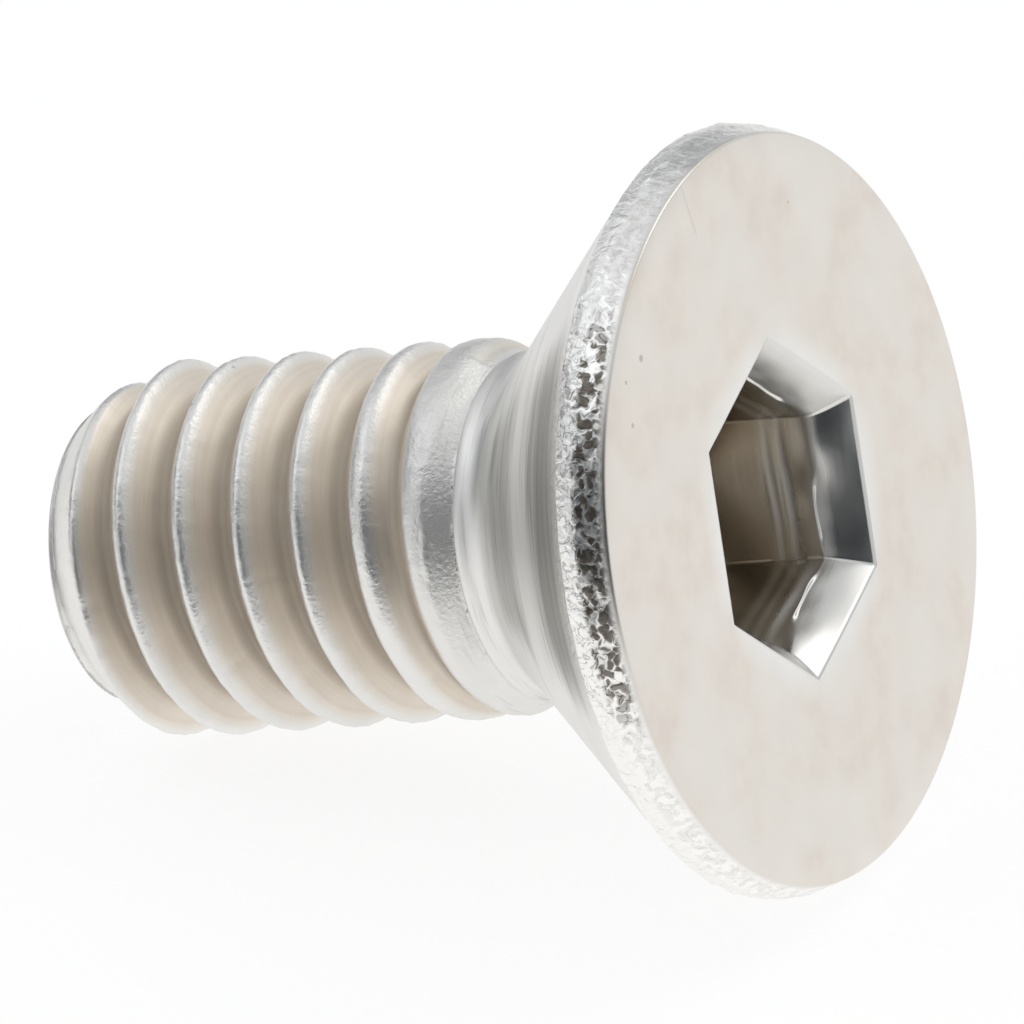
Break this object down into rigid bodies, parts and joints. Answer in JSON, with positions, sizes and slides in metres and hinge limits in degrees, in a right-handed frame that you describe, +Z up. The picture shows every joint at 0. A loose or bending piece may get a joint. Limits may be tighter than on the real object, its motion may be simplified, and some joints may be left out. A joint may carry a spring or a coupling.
{
  "type": "countersunk socket screw",
  "caption": "Short machine screw: flat countersunk head with a hexagon socket and a rough rim, and a rolled coarse thread up to the neck.",
  "frame": {"origin": "middle of the base of the screw's box as it lies on its side", "axes": "+X towards the head, the way the screw lies; +Z up; the screw's own axis leans up to the head"},
  "size_m": [0.0091, 0.0078, 0.0077],
  "materials": {
    "stainless": "bright cold-formed stainless steel, satin on the face and rough on the rim"
  },
  "bodies": {
    "root": {"countersunk_screw": "stainless"}
  },
  "joints": []
}
